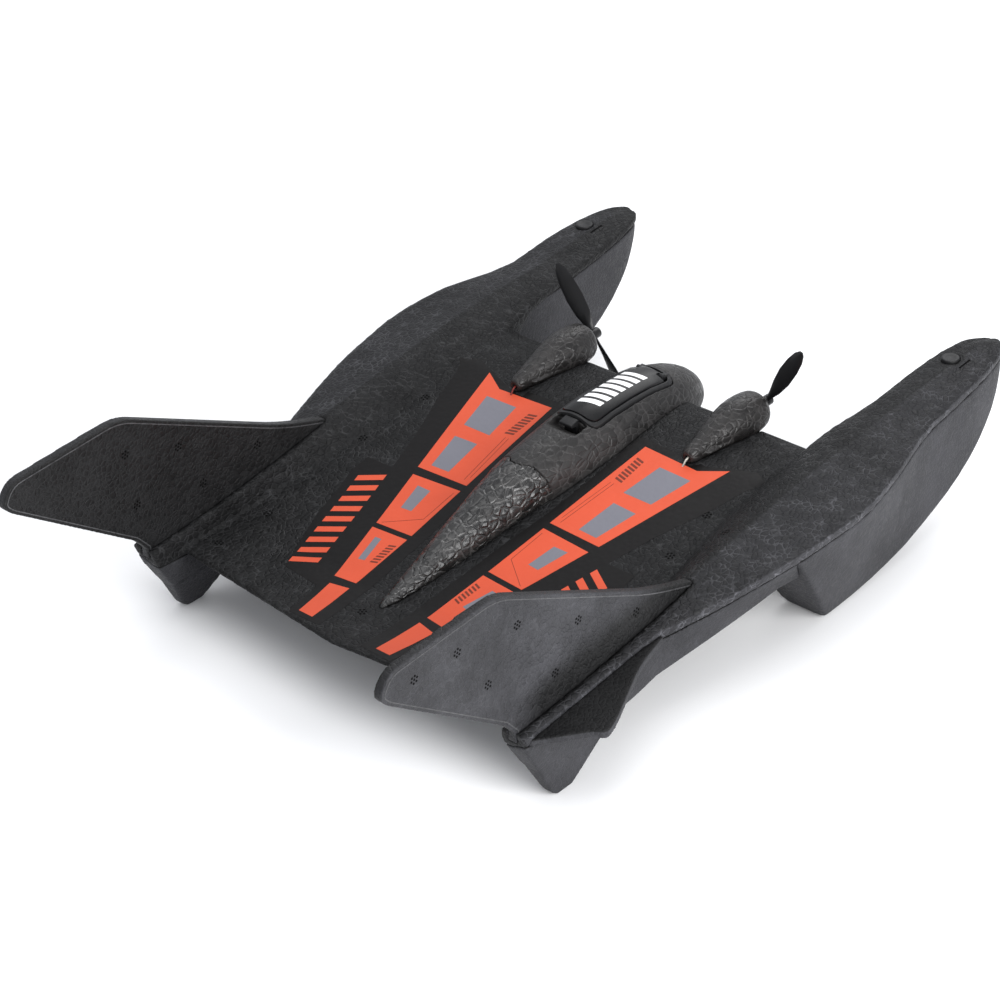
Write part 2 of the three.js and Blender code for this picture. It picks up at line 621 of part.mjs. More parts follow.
// The lower fin hangs from the beam: thick at its root, thin at its rounded tip.
function lowerFinSolid() {
  const front = 72;
  const rear = 118.2;
  const outline = roundedShape([[front, beamLow(front) - GAP, 0], [103.4, -3, 5.5], [111.4, 2.4, 2.5],
    [rear, beamLow(rear) - GAP, 0]]);
  const thin = FIN_THICK / 2;
  const root = beamLow(front);
  const taper = new THREE.Shape([[-6.8, root], [2.6, root], [thin, 0], [-thin, 0]]
    .map(([x, z]) => new THREE.Vector2(x + LOWER_FIN_X, z)));
  const wedge = new THREE.ExtrudeGeometry(taper, { depth: 100, bevelEnabled: false });
  wedge.rotateX(Math.PI / 2);
  wedge.translate(0, 140, 0);
  return solidFrom(wedge).intersect(sidePrism(outline, BEAM_INNER, FAR))
    .subtract(box(0, FAR, 0, FAR, -FAR, 0));
}

function finSolid(grow) {
  const half = FIN_THICK / 2 + grow;
  return sidePrism(finShape(grow), FIN_X - half, FIN_X + half).subtract(box(0, FAR, TIP_Y, FAR, 0, FAR));
}

// The beam ends in a raked face that carries on down the lower fin's trailing edge.
function aheadOfTail() {
  const outline = roundedShape([[-100, 10], [113, 10], [118.5, 17, 2], [127.6, 32.5, 6], [RAIL_END, 42, 2],
    [RAIL_END, 90], [-100, 90]]);
  return sidePrism(outline, BEAM_INNER - 30, FAR);
}

// The outboard stabiliser lies on the slope of the beam's top, with a tongue in the beam's side.
function stabiliserSolid(grow) {
  const tongue = 109.4 - grow;
  const front = 46;
  const rear = 126;
  const shape = roundedShape([[tongue, front + 2, 0], [113.6 + grow, front - grow, 0], [117.4 + grow, 66, 8],
    [130.4 + grow, 96, 3], [133 + grow, 104.6, 3], [127.4, 107.4 + grow, 2], [111, rear + grow, 1.5],
    [tongue, rear + grow, 0]]);
  const flat = planPrism(shape, -STABILISER_THICK / 2 - grow, STABILISER_THICK / 2 + grow, 4);
  const pitch = THREE.MathUtils.radToDeg(Math.atan2(partingZ(front) - partingZ(rear), rear - front));
  return flat.translate([0, -front, 0]).rotate([-pitch, 0, 0]).translate([0, front, partingZ(front)]);
}

// ---------------------------------------------------------------- electronics
const BATTERY = { half: 9, y0: -81.6, y1: -40.4, z0: BAY_FLOOR + GAP, z1: BAY_FLOOR + GAP + 8.4 };
const BOARD_Z = 42.4;

function batterySolid() {
  const r = 2;
  const { half, y0, y1, z0, z1 } = BATTERY;
  const shape = roundedShape([[-half, z0, r], [half, z0, r], [half, z1, r], [-half, z1, r]]);
  const depth = y1 - y0;
  const geometry = new THREE.ExtrudeGeometry(shape, { depth, bevelEnabled: false, curveSegments: 4 });
  geometry.rotateX(Math.PI / 2);
  geometry.translate(0, y1, 0);
  return solidFrom(geometry);
}

// ---------------------------------------------------------------- assembly
const model = new THREE.Group();
model.name = 'rc_flying_wing';

function place(name, solid, look) {
  const mesh = new THREE.Mesh(geometryFrom(largestPiece(solid)), look);
  mesh.name = name;
  model.add(mesh);
}

function placePair(name, solid, look) {
  place(`${name}_left`, solid, look);
  place(`${name}_right`, mirrored(solid), look);
}

function both(solid) {
  return solid.add(mirrored(solid));
}

// A solid together with its own copies moved a gap along each axis: room for it with clearance.
function grown(solid) {
  const moves = [[GAP, 0, 0], [-GAP, 0, 0], [0, GAP, 0], [0, -GAP, 0], [0, 0, GAP], [0, 0, -GAP]];
  return moves.reduce((sum, move) => sum.add(solid.translate(move)), solid);
}

function buildAirframe() {
  const channel = leadSolid(WIRE_R + 0.5);
  const plate = loft([-PLATE_HALF, -60, -25, 0, 25, 60, PLATE_HALF].map(plateRing));
  const podEnd = planPrism(roundedShape([[-40, -140], [40, -140], [40, 19], [-40, 19]]), 0, 110);
  const rail = loft(RAIL_STATIONS.map(railRing)).intersect(aheadOfTail().add(box(0, FAR, -FAR, 0, 0, 100)));
  const { hatch, frame, pin } = hatchSolids();
  const podFront = podFrontSolid(both(channel));
  const podHole = podEnvelope(GAP).subtract(tailRegion(0)).intersect(podEnd);
  const strip = { y: 25, half: 92, width: 5, depth: 1.2 };
  const stripZ = plateBottom(strip.y + 3);
  const plugX = { left: RAIL_X + 4.6, right: -RAIL_X + 4 };
  const plugSlot = { near: 7.1, far: 7.9, half: 4.2, floor: 68.5 };
  const plugRoom = (x) => rodZ(PLUG_R + GAP, PLUG_LOW - GAP, 90, x, PLUG_Y, 18)
    .add(box(x - plugSlot.far, x - plugSlot.near, PLUG_Y - plugSlot.half, PLUG_Y + plugSlot.half,
      plugSlot.floor, 90));

  const deck = plate.add(both(rail))
    .subtract(podHole)
    .subtract(both(nacelleEnvelope(GAP)))
    .subtract(both(channel))
    .subtract(both(finSolid(GAP)))
    .subtract(both(stabiliserSolid(GAP)))
    .subtract(box(-strip.half - GAP, strip.half + GAP, strip.y - strip.width / 2 - GAP,
      strip.y + strip.width / 2 + GAP, 0, stripZ + strip.depth + GAP))
    .subtract(plugRoom(plugX.left))
    .subtract(plugRoom(plugX.right));
  place('wing_shell', deck, FOAM);
  place('spar_strip', box(-strip.half, strip.half, strip.y - strip.width / 2, strip.y + strip.width / 2,
    stripZ, stripZ + strip.depth), CARBON);
  Object.entries(plugX).forEach(([side, x]) => {
    place(`bow_plug_${side}`, rodZ(PLUG_R, PLUG_LOW, PLUG_TOP, x, PLUG_Y, 18), MATT_PLASTIC);
  });

  const shellRoom = grown(plate.add(rail));
  const tenons = finSolid(GAP).add(stabiliserSolid(GAP));
  const beam = loft(BEAM_STATIONS.map(beamRing)).intersect(behindTransom(GAP)).intersect(aheadOfTail());
  placePair('float', floatSolid().subtract(shellRoom), FOAM_SIDE);
  placePair('beam', beam.subtract(shellRoom).subtract(tenons), FOAM_SIDE);
  placePair('fin', finSolid(0), FOAM_SIDE);
  placePair('lower_fin', lowerFinSolid(), FOAM_SIDE);
  placePair('stabiliser', stabiliserSolid(0).subtract(finSolid(GAP)), FOAM_SIDE);

  place('pod_front', podFront, FOAM);
  place('pod_tail', podTailSolid(), FOAM);
  place('hatch', hatch, SATIN_PLASTIC);
  place('hatch_frame', frame, MATT_PLASTIC);
  place('hinge_pin', pin, STEEL);
  place('hatch_latch', latchSolid(), MATT_PLASTIC);
  placePair('nacelle', nacelleSolid(channel), FOAM);
  placePair('motor_leads', leadSolid(WIRE_R), WIRE_PALE);
}

function buildPowerTrain() {
  placePair('motor', motorSolid(), STEEL);
  placePair('motor_sleeve', sleeveSolid(), MATT_PLASTIC);
  placePair('motor_shaft', shaftSolid(), STEEL);
  place('propeller_left', propellerSolid(PROP_ANGLE_LEFT, 1), PROP_PLASTIC);
  place('propeller_right', mirrored(propellerSolid(180 - PROP_ANGLE_RIGHT, 1)), PROP_PLASTIC);
}

function buildElectronics() {
  place('battery', batterySolid(), CELL_WRAP);
  place('battery_plug', box(-4, 4, -58, -50, BATTERY.z1 + GAP, BATTERY.z1 + 4.6), PLUG_WHITE);
  const top = BATTERY.z1 + 2.4;
  const leads = wire([[0, -49.7, top], [0.4, -46, top + 0.2], [1, -42.2, top], [1.2, -39.2, top - 2],
    [1, -38.7, BATTERY.z1 - 3]], 0.9, 12);
  place('battery_leads', leads, WIRE_RED);

  const boardHalf = RADIO_HALF - 0.8;
  place('receiver_board', box(-boardHalf, boardHalf, RADIO_FRONT + 1, -47.5, BOARD_Z, BOARD_Z + 1),
    BOARD_GREEN);
  place('radio_module', box(-5, 5, -74, -63, BOARD_Z - 2.3, BOARD_Z - GAP), STEEL);
  place('motor_driver', box(-3.4, 3.4, -59, -52, BOARD_Z - 1.8, BOARD_Z - GAP), CHIP);
  const light = { x: 6.4, y: -61, radius: 1.3 };
  place('status_light', rodZ(light.radius, BELLY_Z - 0.2, BOARD_Z - GAP, light.x, light.y, 12), LENS);
  const socket = box(-2.6, 2.6, -60.5, -53.5, BOARD_Z + 1 + GAP, RADIO_TOP - GAP);
  place('power_socket', socket, PLUG_WHITE);

  const coverTop = BELLY_Z + COVER_THICK;
  let cover = planPrism(coverOutline(0), BELLY_Z, coverTop)
    .subtract(rodZ(light.radius + GAP, 0, 60, light.x, light.y, 12))
    .subtract(box(-2.2, 2.2, SWITCH_Y - 4, SWITCH_Y + 4, 0, 60));
  COVER_SCREWS.forEach(([x, y]) => {
    cover = cover.subtract(rodZ(1.25, 0, 60, x, y)).subtract(rodZ(2.3, 0, BELLY_Z + 0.7, x, y));
  });
  place('belly_cover', cover, MATT_PLASTIC);
  COVER_SCREWS.forEach(([x, y], i) => {
    const screw = rodZ(2, BELLY_Z - 0.2, BELLY_Z + 0.5, x, y).add(rodZ(1, BELLY_Z, BELLY_Z + 6, x, y));
    place(`cover_screw_${i + 1}`, screw, STEEL);
  });

  const cavity = box(-1.9, 1.9, SWITCH_Y - 3.4, SWITCH_Y + 3.4, 0, coverTop + 2.6);
  const switchBody = box(-3.4, 3.4, SWITCH_Y - 5, SWITCH_Y + 5, coverTop + GAP, coverTop + 4.4);
  place('switch_body', switchBody.subtract(cavity), CHIP);
  const slider = box(-1.5, 1.5, SWITCH_Y - 3, SWITCH_Y, BELLY_Z - 0.9, coverTop + 2.2);
  place('switch_slider', slider, SATIN_PLASTIC);
}

buildAirframe();
buildPowerTrain();
buildElectronics();

export default model;
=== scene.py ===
"""The looks of a twin-motor foam flying wing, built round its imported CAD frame.

Lengths are in millimetres where a name says so or where they are multiplied by MM, and in metres otherwise.
The nose points along -Y, the tail along +Y, and left and right mean +X and -X.
"""

import math

import bmesh
import bpy
import numpy as np
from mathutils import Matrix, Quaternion, Vector, noise
from mathutils.bvhtree import BVHTree


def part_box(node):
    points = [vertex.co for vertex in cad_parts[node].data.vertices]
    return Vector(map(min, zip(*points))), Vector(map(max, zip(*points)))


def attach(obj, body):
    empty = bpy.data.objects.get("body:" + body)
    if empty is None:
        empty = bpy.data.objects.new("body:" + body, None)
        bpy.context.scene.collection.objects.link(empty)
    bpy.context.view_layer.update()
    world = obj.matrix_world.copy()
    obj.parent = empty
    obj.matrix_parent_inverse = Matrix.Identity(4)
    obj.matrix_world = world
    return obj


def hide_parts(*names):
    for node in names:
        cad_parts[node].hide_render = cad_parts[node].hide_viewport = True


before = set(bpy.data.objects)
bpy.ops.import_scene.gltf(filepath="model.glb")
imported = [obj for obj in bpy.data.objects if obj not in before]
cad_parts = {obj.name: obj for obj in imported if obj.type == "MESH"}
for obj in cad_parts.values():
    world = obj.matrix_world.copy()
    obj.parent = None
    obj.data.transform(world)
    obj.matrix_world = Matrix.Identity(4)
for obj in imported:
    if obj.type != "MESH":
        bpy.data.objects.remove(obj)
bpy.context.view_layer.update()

MM = 0.001
MM_IN_METRE = 1000
SIDES = {"left": 1, "right": -1}
scene = bpy.context.scene
# The beads' noise gives the same shapes on each run.
noise.seed_set(7)


# ---------------------------------------------------------------- camera, lights and floor
CAMERA_AZIMUTH = 222.86
CAMERA_ELEVATION = 32.19
CAMERA_ROLL = -2.39
CAMERA_DISTANCE = 1.31
CAMERA_AIM = Vector((12.7, 3.3, 38.9)) * MM
CAMERA_LENS_MM = 108
SKY_COLOUR = (0.93, 0.95, 1.0, 1)
SKY_STRENGTH = 0.8
FLOOR_HALF = 6
FLOOR_COLOUR = (0.92, 0.92, 0.92)
FLOOR_ROUGHNESS = 0.7
# Each light's name, azimuth and elevation, distance and diameter in metres, and watts.
SOFTBOXES = (
    ("overhead_softbox", 180, 80, 1.4, 1.3, 8),
    ("side_softbox", 262, 24, 1.1, 0.8, 13),
    ("nose_softbox", 20, 40, 1.6, 1.0, 7),
)


def direction(azimuth, elevation):
    """The way to a viewer who looks along +Y at azimuth 0 and from above at elevation 90."""
    a, e = math.radians(azimuth), math.radians(elevation)
    return Vector((math.sin(a) * math.cos(e), -math.cos(a) * math.cos(e), math.sin(e)))


def make_camera():
    data = bpy.data.cameras.new("camera")
    data.lens = CAMERA_LENS_MM
    data.sensor_width = 36
    data.clip_start, data.clip_end = 0.05, 20
    camera = bpy.data.objects.new("camera", data)
    scene.collection.objects.link(camera)
    back = direction(CAMERA_AZIMUTH, CAMERA_ELEVATION)
    camera.location = CAMERA_AIM + back * CAMERA_DISTANCE
    camera.rotation_mode = "QUATERNION"
    roll = Quaternion((0, 0, 1), math.radians(CAMERA_ROLL))
    camera.rotation_quaternion = (-back).to_track_quat("-Z", "Y") @ roll
    scene.camera = camera


def soft_light(name, azimuth, elevation, distance, size, watts):
    data = bpy.data.lights.new(name, "AREA")
    data.shape = "DISK"
    data.size = size
    data.energy = watts
    light = bpy.data.objects.new(name, data)
    scene.collection.objects.link(light)
    back = direction(azimuth, elevation)
    light.location = CAMERA_AIM + back * distance
    light.rotation_mode = "QUATERNION"
    light.rotation_quaternion = (-back).to_track_quat("-Z", "Y")


def make_studio():
    world = bpy.data.worlds.new("studio")
    world.use_nodes = True
    background = world.node_tree.nodes["Background"]
    background.inputs["Color"].default_value = SKY_COLOUR
    background.inputs["Strength"].default_value = SKY_STRENGTH
    scene.world = world
    scene.view_settings.view_transform = "Standard"
    for softbox in SOFTBOXES:
        soft_light(*softbox)
    bm = bmesh.new()
    bmesh.ops.create_grid(bm, x_segments=8, y_segments=8, size=FLOOR_HALF)
    floor = object_from("floor", bm)
    floor.data.materials.append(plain_material("floor_paint", FLOOR_COLOUR, FLOOR_ROUGHNESS))


# ---------------------------------------------------------------- node helpers
class Nodes:
    """A short way to add nodes to one material and link them."""

    def __init__(self, name):
        self.material = bpy.data.materials.new(name)
        self.material.use_nodes = True
        self.tree = self.material.node_tree
        self.shader = self.tree.nodes["Principled BSDF"]

    def put(self, socket, value):
        if hasattr(value, "is_output"):
            self.tree.links.new(value, socket)
        else:
            socket.default_value = value

    def add(self, kind, settings=None, **inputs):
        node = self.tree.nodes.new(kind)
        for key, value in (settings or {}).items():
            setattr(node, key, value)
        for key, value in inputs.items():
            self.put(node.inputs[key.replace("_", " ")], value)
        return node

    def place_mm(self, stretch=(1, 1, 1)):
        """Object coordinates in millimetres, squeezed or stretched along the axes."""
        coords = self.add("ShaderNodeTexCoord").outputs["Object"]
        scale = [MM_IN_METRE * s for s in stretch]
        return self.add("ShaderNodeMapping", Vector=coords, Scale=scale).outputs["Vector"]

    def noise(self, vector, size_mm, detail=2.0, roughness=0.5):
        node = self.add("ShaderNodeTexNoise", Vector=vector, Scale=1 / size_mm, Detail=detail,
                        Roughness=roughness)
        return node.outputs["Fac"]

    def cells(self, vector, size_mm, feature="F1", output="Distance"):
        node = self.add("ShaderNodeTexVoronoi", {"feature": feature}, Vector=vector, Scale=1 / size_mm)
        return node.outputs[output]

    def span(self, value, low, high, to_low=0.0, to_high=1.0):
        node = self.add("ShaderNodeMapRange", Value=value)
        for key, number in (("From Min", low), ("From Max", high), ("To Min", to_low), ("To Max", to_high)):
            node.inputs[key].default_value = number
        return node.outputs["Result"]

    def math(self, operation, a, b=0.0):
        node = self.add("ShaderNodeMath", {"operation": operation})
        self.put(node.inputs[0], a)
        self.put(node.inputs[1], b)
        return node.outputs["Value"]

    def blend(self, factor, a, b, blend_type="MIX"):
        node = self.add("ShaderNodeMix", {"data_type": "RGBA", "blend_type": blend_type})
        self.put(node.inputs[0], factor)
        self.put(node.inputs[6], a)
        self.put(node.inputs[7], b)
        return node.outputs[2]

    def coordinate(self, vector, axis):
        return self.add("ShaderNodeSeparateXYZ", Vector=vector).outputs[axis]

    def facing(self, axis):
        """How far the surface turns towards an axis of the object, from -1 to 1."""
        return self.coordinate(self.add("ShaderNodeTexCoord").outputs["Normal"], axis)

    def bump(self, height, depth_mm, strength=1.0, normal=None):
        node = self.add("ShaderNodeBump", Height=height, Strength=strength, Distance=depth_mm * MM)
        if normal is not None:
            self.put(node.inputs["Normal"], normal)
        return node.outputs["Normal"]


def rgb(red, green, blue):
    return (red, green, blue, 1.0)


def shade(colour, factor):
    return tuple(min(1.0, c * factor) for c in colour[:3]) + (1.0,)


# ---------------------------------------------------------------- materials
def plain_material(name, colour, roughness):
    """Matt paint for the floor, very slightly uneven."""
    n = Nodes(name)
    tone = n.noise(n.place_mm(), 400, 3)
    n.put(n.shader.inputs["Base Color"], n.blend(tone, rgb(*colour), shade(colour, 0.98)))
    n.shader.inputs["Roughness"].default_value = roughness
    return n.material


def packed_beads(n, place, bead_mm):
    """Packed cells whose borders wander: the way to the border, the way to the middle, and a lot per cell."""
    wander = n.add("ShaderNodeTexNoise", Vector=place, Scale=0.45 / bead_mm, Detail=2).outputs["Color"]
    moved = n.add("ShaderNodeVectorMath", {"operation": "SCALE"}, Vector=wander, Scale=bead_mm * 1.1)
    warped = n.add("ShaderNodeVectorMath", {"operation": "ADD"})
    n.put(warped.inputs[0], place)
    n.put(warped.inputs[1], moved.outputs["Vector"])
    spot = warped.outputs["Vector"]
    seam = n.cells(spot, bead_mm, "DISTANCE_TO_EDGE")
    dome = n.cells(spot, bead_mm, "F1")
    lot = n.add("ShaderNodeSeparateColor", Color=n.cells(spot, bead_mm, "F1", "Color")).outputs["Red"]
    return seam, dome, lot


def foam_material(name, colour, bead_mm, relief_mm, rough=(0.5, 0.72), specular=0.16, rim=1.9, mottle=0.25,
                  stretch=(1, 0.75, 1), second=None, second_share=None):
    """Expanded bead foam: packed cells, each a little lighter or darker, with a painted highlight on the rims
    where they meet.

    A second colour may take over part of the surface, as second_share(nodes, place) tells.
    """
    n = Nodes(name)
    place = n.place_mm()
    seam, dome, lot = packed_beads(n, n.place_mm(stretch), bead_mm)
    grain = n.noise(place, 0.45, 3, 0.65)
    # Noise that breaks the painted rim highlight into patches.
    rim_highlight_patches = n.noise(place, bead_mm * 3.2, 3, 0.6)
    base = rgb(*colour)
    if second is not None:
        base = n.blend(second_share(n, place), base, rgb(*second))
    lightness = n.span(lot, 0, 1, 1 - mottle, 1 + mottle)
    patch = n.span(n.noise(place, 30, 3), 0.35, 0.7, 0.85, 1.4)
    # Painted highlight: the bead borders are made paler, in patches.
    painted_rim_highlight = n.math("MULTIPLY", n.span(seam, 0.0, 0.12, rim - 1, 0.0), n.span(rim_highlight_patches, 0.42, 0.66))
    tone = n.math("ADD", n.math("MULTIPLY", lightness, patch), painted_rim_highlight)
    grey = n.add("ShaderNodeCombineColor", Red=tone, Green=tone, Blue=tone).outputs["Color"]
    n.put(n.shader.inputs["Base Color"], n.blend(1.0, base, grey, "MULTIPLY"))
    gloss = n.math("ADD", n.span(lot, 0, 1, rough[0], rough[1]), n.span(grain, 0.3, 0.7, -0.05, 0.07))
    n.put(n.shader.inputs["Roughness"], gloss)
    height = n.math("ADD", n.span(seam, 0.0, 0.16, 0.0, 0.7), n.span(dome, 0.0, 0.7, 0.3, 0.0))
    beads = n.bump(height, relief_mm)
    n.put(n.shader.inputs["Normal"], n.bump(grain, relief_mm * 0.35, 0.5, beads))
    n.shader.inputs["Specular IOR Level"].default_value = specular
    return n.material


def shaded_tops(n, place):
    """The share of a hull's top faces, which painted shade makes darker than its sides."""
    return n.span(n.facing("Z"), 0.35, 0.75)


def outward(n, place):
    """How far the surface turns away from the middle of the wing, from -1 to 1."""
    return n.math("MULTIPLY", n.facing("X"), n.math("SIGN", n.coordinate(place, "X")))


# Distances from the middle of the wing, in millimetres, between which the painted light on a rail's outer
# slope fades in.
OUTER_SLOPE_MM = (103, 106)


def lit_outer_edge(n, place):
    """The share of the deck's paler tone, which is painted light: all of its outer edge, a little of the
    outer slope.
    """
    lean = outward(n, place)
    on_rail = n.span(n.math("ABSOLUTE", n.coordinate(place, "X")), *OUTER_SLOPE_MM)
    slope = n.math("MULTIPLY", n.span(lean, 0.02, 0.1, 0.0, 0.3), on_rail)
    return n.math("MAXIMUM", slope, n.span(lean, 0.7, 0.9))


# The painted shadow band along a fin's root: the root falls towards the tail by so much a millimetre, the
# band fades out between two heights above it, which are taken back to y = 0, and ends between two places
# along it.
ROOT_FALL = 0.118
BAND_TOP_MM = (60, 71)
BAND_END_MM = (112, 134)


def fin_shadow(n, place):
    """The share of a fin's painted shade: its whole inner face, and a soft band of painted shadow along the
    root outside.
    """
    inner = n.span(outward(n, place), 0.4, -0.2)
    along = n.coordinate(place, "Y")
    above_root = n.math("ADD", n.coordinate(place, "Z"), n.math("MULTIPLY", along, ROOT_FALL))
    uneven = n.math("MULTIPLY", n.noise(place, 16, 3), 9.0)
    band = n.span(n.math("SUBTRACT", above_root, uneven), *BAND_TOP_MM, 1.0, 0.0)
    ahead_of_end = n.span(along, *BAND_END_MM, 1.0, 0.0)
    return n.math("MAXIMUM", inner, n.math("MULTIPLY", band, ahead_of_end))


def film_material(name, colour, roughness=0.42, tone=0.07, specular=0.12):
    """Printed film that follows the foam: nearly even colour with the beads just showing through."""
    n = Nodes(name)
    place = n.place_mm()
    beads = n.cells(place, 2.4, "SMOOTH_F1")
    patch = n.noise(place, 18, 2)
    n.put(n.shader.inputs["Base Color"], n.blend(patch, shade(colour, 1 - tone), shade(colour, 1 + tone)))
    n.put(n.shader.inputs["Roughness"], n.span(patch, 0.3, 0.7, roughness - 0.04, roughness + 0.06))
    n.put(n.shader.inputs["Normal"], n.bump(beads, 0.12, 0.7))
    n.shader.inputs["Specular IOR Level"].default_value = specular
    return n.material


def moulded_material(name, colour, roughness, grain_mm=0.25, grain_depth=0.02, specular=0.3):
    """Injection-moulded plastic with a fine spark texture and slight flow marks."""
    n = Nodes(name)
    place = n.place_mm()
    grain = n.noise(place, grain_mm, 3, 0.6)
    flow = n.noise(n.place_mm((1, 0.25, 1)), 6, 2)
    n.put(n.shader.inputs["Base Color"], n.blend(flow, shade(colour, 0.85), shade(colour, 1.2)))
    n.put(n.shader.inputs["Roughness"], n.span(grain, 0.25, 0.75, roughness - 0.05, roughness + 0.08))
    n.put(n.shader.inputs["Normal"], n.bump(grain, grain_depth, 0.6))
    n.shader.inputs["Specular IOR Level"].default_value = specular
    return n.material


def metal_material(name, colour, roughness, stretch=(1, 12, 1)):
    """Drawn metal with fine lines and a little staining."""
    n = Nodes(name)
    lines = n.noise(n.place_mm(stretch), 0.5, 4, 0.7)
    stain = n.noise(n.place_mm(), 4, 3)
    n.put(n.shader.inputs["Base Color"], n.blend(stain, shade(colour, 0.8), shade(colour, 1.1)))
    n.put(n.shader.inputs["Roughness"], n.span(lines, 0.3, 0.7, roughness - 0.07, roughness + 0.12))
    n.put(n.shader.inputs["Normal"], n.bump(lines, 0.01, 0.5))
    n.shader.inputs["Metallic"].default_value = 1.0
    return n.material


def carbon_material():
    """Woven carbon strip under clear resin."""
    n = Nodes("carbon_weave")
    place = n.place_mm()
    weave = n.add("ShaderNodeTexChecker", Vector=place, Scale=0.8).outputs["Fac"]
    strand = n.noise(n.place_mm((1, 8, 1)), 0.6, 2)
    n.put(n.shader.inputs["Base Color"], n.blend(weave, rgb(0.012, 0.012, 0.014), rgb(0.035, 0.035, 0.04)))
    n.put(n.shader.inputs["Roughness"], n.span(strand, 0.3, 0.7, 0.22, 0.4))
    n.put(n.shader.inputs["Normal"], n.bump(weave, 0.03, 0.5))
    return n.material


# The pale band round the battery: its middle along the wing, and half its width.
WRAP_BAND_Y_MM = -68
WRAP_BAND_HALF_MM = 5


def wrap_material():
    """Battery wrap: heat-shrunk film with a plain pale band and slight wrinkles."""
    n = Nodes("cell_wrap_film")
    from_band = n.math("SUBTRACT", n.coordinate(n.place_mm(), "Y"), WRAP_BAND_Y_MM)
    band = n.math("LESS_THAN", n.math("ABSOLUTE", from_band), WRAP_BAND_HALF_MM)
    wrinkle = n.noise(n.place_mm((1, 3, 1)), 3, 4)
    base = n.blend(wrinkle, rgb(0.03, 0.07, 0.28), rgb(0.05, 0.12, 0.4))
    n.put(n.shader.inputs["Base Color"], n.blend(band, base, rgb(0.55, 0.6, 0.66)))
    n.put(n.shader.inputs["Roughness"], n.span(wrinkle, 0.3, 0.7, 0.22, 0.38))
    n.put(n.shader.inputs["Normal"], n.bump(wrinkle, 0.15, 0.6))
    return n.material


def board_material():
    """Solder mask over thin copper tracks."""
    n = Nodes("solder_mask")
    place = n.place_mm()
    tracks = n.add("ShaderNodeTexBrick", {"offset": 0.35}, Vector=place, Scale=0.5).outputs["Fac"]
    speck = n.noise(place, 0.8, 3)
    base = n.blend(speck, rgb(0.01, 0.1, 0.035), rgb(0.02, 0.16, 0.06))
    n.put(n.shader.inputs["Base Color"], n.blend(tracks, base, rgb(0.05, 0.28, 0.1)))
    n.put(n.shader.inputs["Roughness"], n.span(speck, 0.3, 0.7, 0.3, 0.45))
    n.put(n.shader.inputs["Normal"], n.bump(tracks, 0.04, 0.6))
    return n.material


def lens_material():
    """The status light's clouded red lens."""
    n = Nodes("red_lens_plastic")
    cloud = n.noise(n.place_mm(), 0.8, 2)
    n.put(n.shader.inputs["Base Color"], n.blend(cloud, rgb(0.75, 0.05, 0.03), rgb(0.9, 0.12, 0.06)))
    n.put(n.shader.inputs["Roughness"], n.span(cloud, 0.3, 0.7, 0.08, 0.16))
    n.shader.inputs["Transmission Weight"].default_value = 0.3
    return n.material


# The same black foam in two tones, chosen by which way a face turns: a darker one for painted shade and a
# paler one for painted light.
FOAM_SHADED_TONE = (0.008, 0.008, 0.0083)
FOAM_LIT_TONE = (0.029, 0.029, 0.032)
FOAM_POD = (0.016, 0.0152, 0.015)
FOAM_CONE = (0.011, 0.0106, 0.0103)
FOAM_NACELLE = (0.0125, 0.0115, 0.0112)
